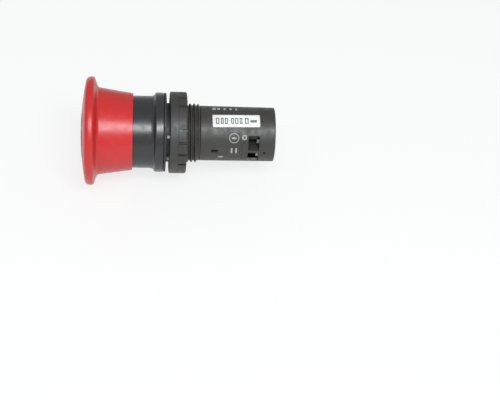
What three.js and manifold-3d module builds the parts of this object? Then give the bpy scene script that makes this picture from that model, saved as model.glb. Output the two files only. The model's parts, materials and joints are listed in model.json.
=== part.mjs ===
// Emergency stop button for a 22 mm panel hole: a twist-release mushroom head on a threaded barrel,
// with two normally closed contacts and four screw terminals in a round housing behind the panel.
//
// Millimetres. The barrel's axis is Y. The origin is on the axis, in the plane where the gasket meets
// the panel. -Y is the operator's side, +Y is behind the panel, and the terminals face +X and -X.

import * as THREE from 'three';
import { mergeVertices } from 'three/addons/utils/BufferGeometryUtils.js';
import { ParametricGeometry } from 'three/addons/geometries/ParametricGeometry.js';
import Module from 'manifold-3d';

const wasm = await Module();
wasm.setup();

// ---- Driving dimensions ------------------------------------------------------------------------

const GAP = 0.3; // between pieces that touch or slide
const TRAVEL = 4.5; // of the mushroom head, from released to latched
const PANEL_HOLE_RADIUS = 11.15;

const CAP_RADIUS = 20;
const CAP_FRONT_Y = -31.3;
const DOME_EDGE_RADIUS = 18.1;
const RIM_FRONT_Y = -29.6;
const RIM_BACK_Y = -26.2;
const SKIRT_TOP_Y = -24.5;
const SKIRT_TOP_RADIUS = 16;
const SKIRT_END_Y = -12.2;
const SKIRT_END_RADIUS = 14.2;
const CAP_CEILING_Y = -27.8;
const CAP_BOSS_RADIUS = 7;
const CAP_BOSS_END_Y = -21.6;
const SOCKET_FLOOR_Y = -27; // of the boss's socket for the spindle

const COLLAR_RADIUS = 13.35;
const COLLAR_FRONT_Y = -20;
const FLARE_FRONT_Y = -5.8;
const FLANGE_RADIUS = 14.7;
const FLANGE_FRONT_Y = -3.6;
const FLANGE_BACK_Y = -1.15;

const THREAD_PITCH = 1.5; // M22 x 1.5
const THREAD_CREST_RADIUS = 10.9;
const THREAD_ROOT_RADIUS = 10;
const BARREL_BORE_RADIUS = 7.8;
const BARREL_FRONT_Y = -21.9;
const BARREL_BACK_Y = 12.2;
const PILOT_BACK_Y = 1.2; // end of the plain stretch that centres the barrel in the panel
const KEYWAY_WIDTH = 3.2;
const KEYWAY_FLOOR = 9.7; // distance from the axis

const RING_FRONT_Y = 1.3; // front face of the thrust ring
const RING_BACK_Y = 4.2;
const RING_RECESS_RADIUS = 13.1; // the recess in its front face holds the grip washer
const WASHER_RADII = [11.3, 12.8];
const TOOTH_ANGLES = [32.5, -12]; // degrees from +X towards +Z
const NUT_BACK_Y = 7.55;
const NUT_RADIUS = 15.1;
const NUT_GROUPS = 4; // of notches, with a wide land between groups
const NOTCHES_IN_GROUP = 4;
const NOTCH_PITCH = 18; // degrees
const NOTCH_WIDTH = 1;
const NOTCH_DEPTH = 0.8;
const FIRST_NOTCH_ANGLE = -10.6;

const SPINDLE_RADIUS = 3.7;
const SPINDLE_NOSE_RADIUS = 2.5;
const CAM_RADIUS = 5;
const CAM_FRONT_Y = -11.7;
const CAM_BACK_Y = -2.4;
const LATCH_Y = -4; // plane of the latch clip
const GUIDE_LENGTH = 3; // of the bush that guides the spindle
const PLUNGER_RADIUS = 5.9;
const ROD_RADIUS = 2.9;
const ROD_BACK_Y = 14;

const HOUSING_FRONT_RADIUS = 10.15;
const HOUSING_BACK_RADIUS = 10;
const HOUSING_BACK_Y = 40.1;
const HOUSING_BORE_RADIUS = 9;
const NECK_RADIUS = 7.5;
const NECK_BORE_RADIUS = 6.4;
const NECK_FRONT_Y = 3;
const COVER_FRONT_Y = 38.1;
const DRIVER_HOLE_RADIUS = 2;
const RIB = { y: [27.9, 29.3], halfWidth: 3.6, height: 0.3 };
const LATCH_WINDOW = { y: [16.5, 19], halfWidth: 0.7 };
const PIN_HOLE = { y: 36.2, radius: 0.5, angle: -3.3 };

const CONTACT_Z = 3.4; // of the contact tips, each side of the bridge's middle
const CONTACT_X = 4.6;
const FIXED_CONTACT_Y = 16.2;
const TIP_RADIUS = 0.9;
const BRIDGE_Y = 18.1;
const BRIDGE_THICKNESS = 0.6;
const HOLDER_Y = 27.6;
const HOLDER_THICKNESS = 1.2;
const TERMINAL_X = 4.9; // of each terminal screw's axis
const TERMINAL_Z = 3.2;
const TERMINAL_PLATE = { x: [2.8, 6.9], z: [1.1, 5.1] };
const TERMINAL_FACE_Y = 30.1; // where a wire lies
const CLAMP_Y = 34.3;
const SCREW_HEAD_Y = 35.4;
const SCREW_HEAD_RADIUS = 2.3;
const SLOT_WIDTH = 0.6;
const SLOT_DEPTH = 0.9;
const SCREW_RADIUS = 1.45;
const STRIP = 0.8; // thickness of the brass strip
const CONTACT_WEB = { x: [6.6, 7.3], z: [2.2, 4.6] }; // the strip's run along the wall

const LABEL_LENGTH = 17.4;
const LABEL_WIDTH = 5.05;
const LABEL_THICKNESS = 0.12;
const LABEL_FRONT_Y = 16.85;
const LABEL_ANGLE = 68.7; // degrees from +X towards +Z
const LABEL_TILT = -1.3;

const FINE = 36; // sides of a large round piece
const THREAD_SIDES = 20; // steps in one turn of the thread
const COARSE = 16; // sides of a small or hidden round piece

// ---- Tools: outlines, solids and placing --------------------------------------------------------

const radians = THREE.MathUtils.degToRad;

// A path in the half-plane (radius, y), turned about the Y axis. The path may run either way round.
function turned(path, sides = COARSE, curveSteps = 2) {
  const points = path.getPoints(curveSteps);
  if (points[0].x > 0) points.push(points[0].clone());
  if (THREE.ShapeUtils.area(points) < 0) points.reverse();
  return new THREE.LatheGeometry(points, sides);
}

// The same, from straight corners [radius, y].
function turnedCorners(corners, sides = COARSE) {
  return turned(new THREE.Path(corners.map(([r, y]) => new THREE.Vector2(r, y))), sides);
}

function tubeRing(innerRadius, outerRadius, y0, y1, sides = COARSE) {
  return turnedCorners([[innerRadius, y0], [outerRadius, y0], [outerRadius, y1], [innerRadius, y1]], sides);
}

function rod(radius, y0, y1, sides = COARSE) {
  return turnedCorners([[0, y0], [radius, y0], [radius, y1], [0, y1]], sides);
}

function box(x0, x1, y0, y1, z0, z1) {
  const size = new THREE.BoxGeometry(x1 - x0, y1 - y0, z1 - z0);
  return size.translate((x0 + x1) / 2, (y0 + y1) / 2, (z0 + z1) / 2);
}

// Turns a geometry about the axis, by degrees from +X towards +Z.
function turnedTowardsZ(geometry, degrees) {
  return geometry.rotateY(-radians(degrees));
}

function toSolid(geometry) {
  const bare = geometry.clone();
  bare.deleteAttribute('normal');
  bare.deleteAttribute('uv');
  const merged = mergeVertices(bare, 1e-4);
  const vertProperties = merged.getAttribute('position').array;
  const triVerts = new Uint32Array(merged.getIndex().array);
  return new wasm.Manifold(new wasm.Mesh({ numProp: 3, vertProperties, triVerts }));
}

function fromSolid(solid) {
  const { vertProperties, triVerts } = solid.getMesh();
  const shared = new THREE.BufferGeometry();
  shared.setAttribute('position', new THREE.BufferAttribute(vertProperties, 3));
  shared.setIndex(new THREE.BufferAttribute(triVerts, 1));
  const flat = shared.toNonIndexed();
  flat.computeVertexNormals();
  return flat;
}

function combined(operation, first, others) {
  const result = others.reduce((solid, other) => solid[operation](toSolid(other)), toSolid(first));
  return fromSolid(result);
}

const joined = (first, ...others) => combined('add', first, others);
const cutBy = (first, ...others) => combined('subtract', first, others);
const common = (first, ...others) => combined('intersect', first, others);

// A wire of a round section along a curve.
function wire(curve, radius, steps, sides = 5) {
  const section = new THREE.Shape();
  for (let i = 0; i < sides; i += 1) {
    const angle = (i / sides) * 2 * Math.PI;
    const move = i === 0 ? 'moveTo' : 'lineTo';
    section[move](radius * Math.cos(angle), radius * Math.sin(angle));
  }
  return new THREE.ExtrudeGeometry(section, { steps, extrudePath: curve, bevelEnabled: false });
}

class Helix extends THREE.Curve {
  constructor(radius, y0, y1, turns, x = 0) {
    super();
    Object.assign(this, { radius, y0, y1, turns, x });
  }

  getPoint(t, target = new THREE.Vector3()) {
    const angle = t * this.turns * 2 * Math.PI;
    const y = this.y0 + t * (this.y1 - this.y0);
    return target.set(this.x + this.radius * Math.sin(angle), y, this.radius * Math.cos(angle));
  }
}

function coilSpring({ radius, wireRadius, y0, y1, turns, x = 0 }) {
  const path = new Helix(radius, y0 + wireRadius, y1 - wireRadius, turns, x);
  return wire(path, wireRadius, Math.ceil(turns * 9));
}

// A right-handed ridge wound about Y, four points round its section. It fades to a point at each end.
function helicalRidge({ footRadius, footHalf, crestRadius, crestHalf, y0, y1 }) {
  const steps = Math.round(((y1 - y0) / THREAD_PITCH) * THREAD_SIDES);
  const section = [
    [footRadius, -footHalf],
    [crestRadius, -crestHalf],
    [crestRadius, crestHalf],
    [footRadius, footHalf],
  ];
  const point = (u, v, target) => {
    const step = Math.round(u * steps);
    const fade = step === 0 || step === steps ? 0 : 1;
    const [radius, offset] = section[Math.round(v * section.length) % section.length];
    const angle = (y0 / THREAD_PITCH + step / THREAD_SIDES) * 2 * Math.PI;
    const faded = footRadius + fade * (radius - footRadius);
    const y = y0 + (step / THREAD_SIDES) * THREAD_PITCH + fade * offset;
    target.set(faded * Math.sin(angle), y, faded * Math.cos(angle));
  };
  return new ParametricGeometry(point, steps, section.length);
}

const assembly = new THREE.Group();
assembly.name = 'emergency_stop_button';

function finish(color, roughness, metalness = 0) {
  return new THREE.MeshStandardMaterial({ color, roughness, metalness });
}

function place(name, geometry, material, parent = assembly) {
  const mesh = new THREE.Mesh(geometry, material);
  mesh.name = name;
  parent.add(mesh);
  return mesh;
}

const red = () => finish(0xd23a3a, 0.35);
const collarGrey = () => finish(0x3c4247, 0.25);
const bodyGrey = () => finish(0x4a4643, 0.5);
const nutGrey = () => finish(0x4b4845, 0.45);
const rubber = () => finish(0x2e3033, 0.7);
const springSteel = () => finish(0xb4b6b8, 0.3, 1);
const platedSteel = () => finish(0xc8c6be, 0.35, 1);
const brass = () => finish(0xc9a45a, 0.35, 1);
const acetal = () => finish(0xe8e6de, 0.5);
const insulator = () => finish(0x6a6560, 0.6);

// ---- Operator: the pieces that turn with the mushroom head --------------------------------------

function mushroomCap() {
  const domeSagitta = RIM_FRONT_Y - CAP_FRONT_Y;
  const domeRadius = (DOME_EDGE_RADIUS ** 2 + domeSagitta ** 2) / (2 * domeSagitta);
  const domeAngle = Math.asin(DOME_EDGE_RADIUS / domeRadius);
  const skirtBore = COLLAR_RADIUS + GAP;
  const outline = new THREE.Path();
  outline.absarc(0, CAP_FRONT_Y + domeRadius, domeRadius, -Math.PI / 2, domeAngle - Math.PI / 2);
  outline.quadraticCurveTo(CAP_RADIUS - 0.3, RIM_FRONT_Y + 0.2, CAP_RADIUS, RIM_FRONT_Y + 1.8);
  outline.lineTo(CAP_RADIUS, RIM_BACK_Y - 0.9);
  outline.quadraticCurveTo(CAP_RADIUS, RIM_BACK_Y - 0.1, CAP_RADIUS - 0.7, RIM_BACK_Y);
  outline.lineTo(SKIRT_TOP_RADIUS + 0.7, RIM_BACK_Y + 0.9);
  outline.quadraticCurveTo(SKIRT_TOP_RADIUS, RIM_BACK_Y + 1.1, SKIRT_TOP_RADIUS, SKIRT_TOP_Y);
  outline.lineTo(SKIRT_END_RADIUS, SKIRT_END_Y);
  outline.lineTo(skirtBore, SKIRT_END_Y);
  outline.lineTo(skirtBore, CAP_CEILING_Y + 2.4);
  outline.quadraticCurveTo(skirtBore, CAP_CEILING_Y, skirtBore - 2.2, CAP_CEILING_Y);
  outline.lineTo(CAP_BOSS_RADIUS, CAP_CEILING_Y);
  outline.lineTo(CAP_BOSS_RADIUS, CAP_BOSS_END_Y);
  outline.lineTo(SPINDLE_RADIUS + GAP, CAP_BOSS_END_Y);
  outline.lineTo(SPINDLE_RADIUS + GAP, SOCKET_FLOOR_Y);
  outline.lineTo(0, SOCKET_FLOOR_Y);
  return turned(outline, FINE);
}

const DRIVE_PIN_Y = CAM_FRONT_Y + 1.5;
const DRIVE_PIN_RADIUS = 0.6;
const CLIP_Y = CAM_BACK_Y + GAP + 0.2;
const CLIP_THICKNESS = 0.6;
const SPINDLE_BACK_Y = CLIP_Y + 2.1;

function crossHole(y, radius, reach) {
  return new THREE.CylinderGeometry(radius, radius, 2 * reach, 12).rotateZ(Math.PI / 2).translate(0, y, 0);
}

function capSpindle() {
  const grooveRadius = 1.8;
  const shaft = turnedCorners([
    [0, SOCKET_FLOOR_Y + GAP],
    [SPINDLE_RADIUS, SOCKET_FLOOR_Y + GAP],
    [SPINDLE_RADIUS, CAM_FRONT_Y - GAP],
    [SPINDLE_NOSE_RADIUS, CAM_FRONT_Y - GAP],
    [SPINDLE_NOSE_RADIUS, CLIP_Y - 0.1],
    [grooveRadius, CLIP_Y - 0.1],
    [grooveRadius, CLIP_Y + 0.7],
    [SPINDLE_NOSE_RADIUS, CLIP_Y + 0.7],
    [SPINDLE_NOSE_RADIUS, SPINDLE_BACK_Y],
    [0, SPINDLE_BACK_Y],
  ]);
  return cutBy(shaft, crossHole(DRIVE_PIN_Y, DRIVE_PIN_RADIUS + GAP, SPINDLE_RADIUS));
}

// The sleeve carries two lobes, which snap behind the latch clip's legs when the head is pressed.
function camSleeve() {
  const lobeBackY = LATCH_Y - 2;
  const lobeHalf = 2.2;
  const sleeve = tubeRing(SPINDLE_NOSE_RADIUS + 0.25, CAM_RADIUS, CAM_FRONT_Y, CAM_BACK_Y);
  const ridge = turnedCorners([
    [CAM_RADIUS - 0.5, lobeBackY - 1.6],
    [CAM_RADIUS + 0.9, lobeBackY - 1.6],
    [CAM_RADIUS + 0.9, lobeBackY - 1.2],
    [CAM_RADIUS - 0.5, lobeBackY + 0.2],
  ]);
  const band = box(-CAP_RADIUS, CAP_RADIUS, lobeBackY - 2, lobeBackY + 1, -lobeHalf, lobeHalf);
  const pinHole = crossHole(DRIVE_PIN_Y, DRIVE_PIN_RADIUS + GAP, CAM_RADIUS + 1);
  return cutBy(joined(sleeve, common(ridge, band)), pinHole);
}

function spindleClip() {
  const [inner, outer, gapHalf] = [2.1, 4.1, 1.4];
  const ring = tubeRing(inner, outer, CLIP_Y, CLIP_Y + CLIP_THICKNESS);
  return cutBy(ring, box(0, outer + 1, CLIP_Y - 1, CLIP_Y + 2, -gapHalf, gapHalf));
}

function buildOperator() {
  place('mushroom_cap', mushroomCap(), red());
  place('cap_spindle', capSpindle(), acetal());
  place('cam_sleeve', camSleeve(), acetal());
  place('drive_pin', crossHole(DRIVE_PIN_Y, DRIVE_PIN_RADIUS, CAM_RADIUS - 0.4), platedSteel());
  place('spindle_clip', spindleClip(), springSteel());
}

// ---- Barrel: what is fixed at the panel ---------------------------------------------------------

function bezelCollar() {
  const bore = THREAD_CREST_RADIUS + GAP;
  const edgeY = FLANGE_FRONT_Y - 0.5;
  const outline = new THREE.Path();
  outline.moveTo(bore, COLLAR_FRONT_Y);
  outline.lineTo(COLLAR_RADIUS - 0.4, COLLAR_FRONT_Y);
  outline.lineTo(COLLAR_RADIUS, COLLAR_FRONT_Y + 0.4);
  outline.lineTo(COLLAR_RADIUS, FLARE_FRONT_Y);
  outline.quadraticCurveTo(COLLAR_RADIUS + 0.05, edgeY - 0.2, FLANGE_RADIUS - 0.35, edgeY);
  outline.quadraticCurveTo(FLANGE_RADIUS, edgeY, FLANGE_RADIUS, FLANGE_FRONT_Y);
  outline.lineTo(FLANGE_RADIUS, FLANGE_BACK_Y);
  outline.lineTo(bore, FLANGE_BACK_Y);
  return turned(outline, FINE);
}

function threadedBarrel() {
  const headRadius = COLLAR_RADIUS - 0.45;
  const headBackY = COLLAR_FRONT_Y - GAP;
  const clipGroove = BARREL_BORE_RADIUS + 0.6;
  const body = turnedCorners([
    [BARREL_BORE_RADIUS, BARREL_FRONT_Y],
    [headRadius, BARREL_FRONT_Y],
    [headRadius, headBackY],
    [THREAD_CREST_RADIUS, headBackY],
    [THREAD_CREST_RADIUS, PILOT_BACK_Y],
    [THREAD_ROOT_RADIUS, PILOT_BACK_Y + 0.7],
    [THREAD_ROOT_RADIUS, BARREL_BACK_Y],
    [BARREL_BORE_RADIUS, BARREL_BACK_Y],
    [BARREL_BORE_RADIUS, LATCH_Y + 0.9],
    [clipGroove, LATCH_Y + 0.9],
    [clipGroove, LATCH_Y - 0.9],
    [BARREL_BORE_RADIUS, LATCH_Y - 0.9],
  ], THREAD_SIDES);
  const thread = helicalRidge({
    footRadius: THREAD_ROOT_RADIUS - 0.15,
    footHalf: 0.7,
    crestRadius: THREAD_CREST_RADIUS,
    crestHalf: 0.1,
    y0: PILOT_BACK_Y + 0.9,
    y1: BARREL_BACK_Y - 0.75,
  });
  const half = KEYWAY_WIDTH / 2;
  const keyway = box(-half, half, 0, BARREL_BACK_Y + 1, -CAP_RADIUS, -KEYWAY_FLOOR);
  return cutBy(joined(body, thread), keyway);
}

// A bush pressed into the barrel, which the spindle slides and turns in.
function spindleGuide() {
  const frontY = CAP_BOSS_END_Y + TRAVEL + 0.6;
  return tubeRing(SPINDLE_RADIUS + GAP, BARREL_BORE_RADIUS - GAP, frontY, frontY + GUIDE_LENGTH);
}

function panelGasket() {
  return tubeRing(PANEL_HOLE_RADIUS + 0.05, FLANGE_RADIUS - 0.1, FLANGE_BACK_Y + GAP, 0, FINE);
}

function stemSeal() {
  const backY = CAM_FRONT_Y - GAP;
  return tubeRing(SPINDLE_RADIUS + GAP, BARREL_BORE_RADIUS - GAP, backY - 1.2, backY);
}

// A U of spring wire: its two straight legs lie each side of the cam sleeve.
function latchClip() {
  const legX = CAM_RADIUS + 0.75;
  const half = [[legX, -4.6], [legX, 0], [legX, 4], [legX - 1.6, 6.2]];
  const points = [...half, [0, BARREL_BORE_RADIUS - 0.2]];
  half.reverse().forEach(([x, z]) => points.push([-x, z]));
  const path = new THREE.CatmullRomCurve3(points.map(([x, z]) => new THREE.Vector3(x, LATCH_Y, z)));
  return wire(path, 0.5, 24, 6);
}

function twistSpring() {
  return coilSpring({ radius: 6.6, wireRadius: 0.4, y0: CAM_FRONT_Y + 0.6, y1: LATCH_Y - 1.8, turns: 3.5 });
}

function buildBarrel() {
  place('bezel_collar', bezelCollar(), collarGrey());
  place('threaded_barrel', threadedBarrel(), bodyGrey());
  place('spindle_guide', spindleGuide(), acetal());
  place('panel_gasket', panelGasket(), rubber());
  place('stem_seal', stemSeal(), rubber());
  place('latch_clip', latchClip(), springSteel());
  place('twist_spring', twistSpring(), springSteel());
}

// ---- Lock nut, with the thrust ring that the keyway stops from turning --------------------------

function thrustRing() {
  const washerBackY = RING_FRONT_Y + 0.8;
  const chamfer = 0.4;
  const ring = turnedCorners([
    [PANEL_HOLE_RADIUS, washerBackY],
    [RING_RECESS_RADIUS, washerBackY],
    [RING_RECESS_RADIUS, RING_FRONT_Y],
    [NUT_RADIUS - chamfer, RING_FRONT_Y],
    [NUT_RADIUS, RING_FRONT_Y + chamfer],
    [NUT_RADIUS, RING_BACK_Y],
    [PANEL_HOLE_RADIUS, RING_BACK_Y],
  ], FINE);
  const half = KEYWAY_WIDTH / 2 - GAP;
  const key = box(-half, half, washerBackY, RING_BACK_Y, -PANEL_HOLE_RADIUS - 1, -KEYWAY_FLOOR - GAP);
  return joined(ring, key);
}

// A flat ring with two teeth bent forward, which bite the back of the panel.
function gripWasher() {
  const [inner, outer] = WASHER_RADII;
  const frontY = RING_FRONT_Y + 0.1;
  const ring = tubeRing(inner, outer, frontY, frontY + 0.4, FINE);
  const teeth = TOOTH_ANGLES.map((degrees) => {
    const tooth = box(inner + 0.1, inner + 1, RING_FRONT_Y - 1, frontY + 0.2, -0.5, 0.5);
    return turnedTowardsZ(tooth, degrees);
  });
  return joined(ring, ...teeth);
}

function lockNut() {
  const frontY = RING_BACK_Y + GAP;
  const bore = THREAD_ROOT_RADIUS + 0.25;
  const chamfer = 0.4;
  const body = turnedCorners([
    [bore, frontY],
    [NUT_RADIUS, frontY],
    [NUT_RADIUS, NUT_BACK_Y - chamfer],
    [NUT_RADIUS - chamfer, NUT_BACK_Y],
    [bore, NUT_BACK_Y],
  ], FINE);
  const groove = helicalRidge({
    footRadius: THREAD_ROOT_RADIUS,
    footHalf: 0.73,
    crestRadius: THREAD_CREST_RADIUS + 0.18,
    crestHalf: 0.2,
    y0: frontY - THREAD_PITCH,
    y1: NUT_BACK_Y + THREAD_PITCH,
  });
  const notches = [];
  const half = NOTCH_WIDTH / 2;
  for (let group = 0; group < NUT_GROUPS; group += 1) {
    for (let i = 0; i < NOTCHES_IN_GROUP; i += 1) {
      const angle = FIRST_NOTCH_ANGLE + group * (360 / NUT_GROUPS) + i * NOTCH_PITCH;
      const notch = box(NUT_RADIUS - NOTCH_DEPTH, NUT_RADIUS + 1, frontY, NUT_BACK_Y + 1, -half, half);
      notches.push(turnedTowardsZ(notch, angle));
    }
  }
  return cutBy(body, groove, ...notches);
}

function buildNut() {
  place('thrust_ring', thrustRing(), nutGrey());
  place('grip_washer', gripWasher(), platedSteel());
  place('lock_nut', lockNut(), nutGrey());
}

// ---- Plunger: slides with the head, and carries the moving contacts -----------------------------

const CARRIER_FRONT_Y = ROD_BACK_Y + GAP;
const CARRIER_BACK_Y = 22.4;
const CARRIER_WINDOW = [BRIDGE_Y - 0.6, CARRIER_BACK_Y - 0.8];
const SPRING_BORE_RADIUS = 2.1;
const SPRING_SEAT_Y = CARRIER_FRONT_Y + 1.2;

function plunger() {
  const cupFrontY = CAM_BACK_Y + 0.4;
  const cupBore = PLUNGER_RADIUS - 1.3;
  const floorY = SPINDLE_BACK_Y + GAP;
  const shoulderY = floorY + 3;
  return turnedCorners([
    [0, floorY],
    [cupBore, floorY],
    [cupBore, cupFrontY],
    [PLUNGER_RADIUS, cupFrontY],
    [PLUNGER_RADIUS, shoulderY],
    [ROD_RADIUS, shoulderY],
    [ROD_RADIUS, ROD_BACK_Y],
    [0, ROD_BACK_Y],
  ]);
}

function contactCarrier() {
  const armHalf = 1.5;
  const reach = 6.4;
  const column = rod(ROD_RADIUS, CARRIER_FRONT_Y, CARRIER_BACK_Y);
  const arms = box(-reach, reach, BRIDGE_Y - 2.1, CARRIER_BACK_Y, -armHalf, armHalf);
  const windows = [-1, 1].map((side) => {
    const ends = [side * (ROD_RADIUS + 0.3), side * (reach - 0.4)].sort((a, b) => a - b);
    return box(...ends, ...CARRIER_WINDOW, -2 * armHalf, 2 * armHalf);
  });
  const springBore = rod(SPRING_BORE_RADIUS, SPRING_SEAT_Y, CARRIER_BACK_Y + 1);
  return cutBy(joined(column, arms), springBore, ...windows);
}

// A bar between the two contacts of a pair, with a domed tip near each end.
function contactBridge() {
  const [halfWidth, halfLength] = [1.1, CONTACT_Z + 1];
  const backY = BRIDGE_Y + BRIDGE_THICKNESS;
  const bar = box(CONTACT_X - halfWidth, CONTACT_X + halfWidth, BRIDGE_Y, backY, -halfLength, halfLength);
  const tip = (z) => rod(TIP_RADIUS, BRIDGE_Y - 0.4, BRIDGE_Y + 0.1, 12).translate(CONTACT_X, 0, z);
  return joined(bar, tip(CONTACT_Z), tip(-CONTACT_Z));
}

function contactSpring() {
  const y0 = BRIDGE_Y + BRIDGE_THICKNESS + GAP;
  const y1 = CARRIER_WINDOW[1] - GAP;
  return coilSpring({ radius: 0.85, wireRadius: 0.22, y0, y1, turns: 3, x: CONTACT_X });
}

function buildPlunger() {
  place('plunger', plunger(), acetal());
  place('contact_carrier', contactCarrier(), acetal());
  [1, -1].forEach((side, i) => {
    place(`contact_bridge_${i + 1}`, contactBridge(), brass()).scale.x = side;
    place(`contact_spring_${i + 1}`, contactSpring(), springSteel()).scale.x = side;
  });
}

// ---- Housing and terminals ----------------------------------------------------------------------

const QUADRANTS = [[1, 1], [1, -1], [-1, -1], [-1, 1]]; // signs of x and z of each terminal
const WIRE_ENTRY = { y: [TERMINAL_FACE_Y, CLAMP_Y - 0.1], z: [0.55, 5.9] };
const WALL_SPAN = [6.5, 12]; // an x range that crosses the housing's wall

function inQuadrant(mesh, [signX, signZ]) {
  mesh.scale.set(signX, 1, signZ);
  return mesh;
}

function mirroredBox(signX, signZ, x0, x1, y0, y1, z0, z1) {
  const shape = box(x0, x1, y0, y1, z0, z1);
  const midX = (x0 + x1) / 2;
  const midZ = (z0 + z1) / 2;
  return shape.translate(signX * midX - midX, 0, signZ * midZ - midZ);
}

function contactHousing() {
  const frontY = BARREL_BACK_Y + GAP;
  const coverSeat = HOUSING_BORE_RADIUS + 0.3;
  const guideBore = ROD_RADIUS + GAP;
  const wallBackY = frontY + 1.5;
  const shell = turnedCorners([
    [NECK_BORE_RADIUS, NECK_FRONT_Y],
    [NECK_RADIUS, NECK_FRONT_Y],
    [NECK_RADIUS, frontY],
    [HOUSING_FRONT_RADIUS, frontY],
    [HOUSING_BACK_RADIUS, HOUSING_BACK_Y - 0.3],
    [HOUSING_BACK_RADIUS - 0.3, HOUSING_BACK_Y],
    [coverSeat, HOUSING_BACK_Y],
    [coverSeat, COVER_FRONT_Y - GAP],
    [HOUSING_BORE_RADIUS, COVER_FRONT_Y - GAP],
    [HOUSING_BORE_RADIUS, wallBackY],
    [guideBore, wallBackY],
    [guideBore, frontY],
    [NECK_BORE_RADIUS, frontY],
  ], FINE);
  const ribRing = tubeRing(HOUSING_BACK_RADIUS - 0.4, HOUSING_BACK_RADIUS + RIB.height, ...RIB.y, FINE);
  const ribBlock = box(...WALL_SPAN, ...RIB.y, -RIB.halfWidth, RIB.halfWidth);
  const window = box(...WALL_SPAN, ...LATCH_WINDOW.y, -LATCH_WINDOW.halfWidth, LATCH_WINDOW.halfWidth);
  const straightHole = crossHole(PIN_HOLE.y, PIN_HOLE.radius, 3).translate(HOUSING_BACK_RADIUS, 0, 0);
  const pinHole = turnedTowardsZ(straightHole, PIN_HOLE.angle);
  const bothSides = (shape) => [shape, turnedTowardsZ(shape.clone(), 180)];
  const ribs = bothSides(ribBlock).map((block) => common(ribRing, block));
  const { y, z } = WIRE_ENTRY;
  const entries = QUADRANTS.map(([sx, sz]) => mirroredBox(sx, sz, ...WALL_SPAN, ...y, ...z));
  return cutBy(joined(shell, ...ribs), ...entries, ...bothSides(window), ...bothSides(pinHole));
}

// Carries the terminals, backs the return spring and keeps the terminals apart.
function terminalHolder() {
  const barrierBackY = COVER_FRONT_Y - GAP;
  const reach = HOUSING_BORE_RADIUS - 0.7;
  const disc = rod(HOUSING_BORE_RADIUS - GAP, HOLDER_Y, HOLDER_Y + HOLDER_THICKNESS, FINE);
  const barrierX = box(-reach, reach, HOLDER_Y, barrierBackY, -0.45, 0.45);
  const barrierZ = box(-0.6, 0.6, HOLDER_Y, barrierBackY, -reach, reach);
  const [webX, webZ] = [CONTACT_WEB.x[0] - GAP, CONTACT_WEB.z.map((z, i) => z + (i ? GAP : -GAP))];
  const openings = QUADRANTS.flatMap(([sx, sz]) => [
    rod(SCREW_RADIUS + GAP, HOLDER_Y - 1, HOLDER_Y + 2, 16).translate(sx * TERMINAL_X, 0, sz * TERMINAL_Z),
    mirroredBox(sx, sz, webX, HOUSING_BORE_RADIUS, HOLDER_Y - 1, HOLDER_Y + 2, ...webZ),
  ]);
  return cutBy(joined(disc, barrierX, barrierZ), ...openings);
}

// One brass strip: the contact arm, the web along the wall, and the plate that the wire lies on.
function fixedContact() {
  const { x, z } = CONTACT_WEB;
  const tipY = FIXED_CONTACT_Y + STRIP + 0.4;
  const arm = box(CONTACT_X - 1.2, x[1], FIXED_CONTACT_Y, FIXED_CONTACT_Y + STRIP, ...z);
  const tip = rod(TIP_RADIUS, tipY - 0.8, tipY, 12).translate(CONTACT_X, 0, CONTACT_Z);
  const web = box(...x, FIXED_CONTACT_Y, TERMINAL_FACE_Y, ...z);
  const plate = box(...TERMINAL_PLATE.x, TERMINAL_FACE_Y - STRIP, TERMINAL_FACE_Y, ...TERMINAL_PLATE.z);
  const hole = rod(SCREW_RADIUS + GAP, TERMINAL_FACE_Y - 2, TERMINAL_FACE_Y + 1, 16);
  return cutBy(joined(arm, tip, web, plate), hole.translate(TERMINAL_X, 0, TERMINAL_Z));
}

function terminalClamp() {
  const plate = box(...TERMINAL_PLATE.x, CLAMP_Y, CLAMP_Y + STRIP, ...TERMINAL_PLATE.z);
  const hole = rod(SCREW_RADIUS + GAP, CLAMP_Y - 1, CLAMP_Y + 2, 16);
  return cutBy(plate, hole.translate(TERMINAL_X, 0, TERMINAL_Z));
}

function terminalScrew() {
  const headBackY = COVER_FRONT_Y - GAP;
  const tipY = TERMINAL_FACE_Y - STRIP - 0.5;
  const screw = turnedCorners([
    [0, tipY],
    [SCREW_RADIUS, tipY],
    [SCREW_RADIUS, SCREW_HEAD_Y],
    [SCREW_HEAD_RADIUS, SCREW_HEAD_Y],
    [SCREW_HEAD_RADIUS, headBackY],
    [0, headBackY],
  ], 16);
  const slotAcross = (reach) => {
    const half = SLOT_WIDTH / 2;
    return box(-reach, reach, headBackY - SLOT_DEPTH, headBackY + 1, -half, half);
  };
  const crossSlot = slotAcross(1.3).rotateY(Math.PI / 2);
  return cutBy(screw, slotAcross(SCREW_HEAD_RADIUS + 1), crossSlot).translate(TERMINAL_X, 0, TERMINAL_Z);
}

function rearCover() {
  const disc = rod(HOUSING_BORE_RADIUS, COVER_FRONT_Y, HOUSING_BACK_Y - 0.2, FINE);
  const access = QUADRANTS.map(([sx, sz]) => {
    const hole = rod(DRIVER_HOLE_RADIUS, COVER_FRONT_Y - 1, HOUSING_BACK_Y + 1, 16);
    return hole.translate(sx * TERMINAL_X, 0, sz * TERMINAL_Z);
  });
  return cutBy(disc, ...access);
}

function returnSpring() {
  return coilSpring({
    radius: 1.5,
    wireRadius: 0.3,
    y0: SPRING_SEAT_Y + GAP,
    y1: HOLDER_Y - GAP,
    turns: 6,
  });
}

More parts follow.
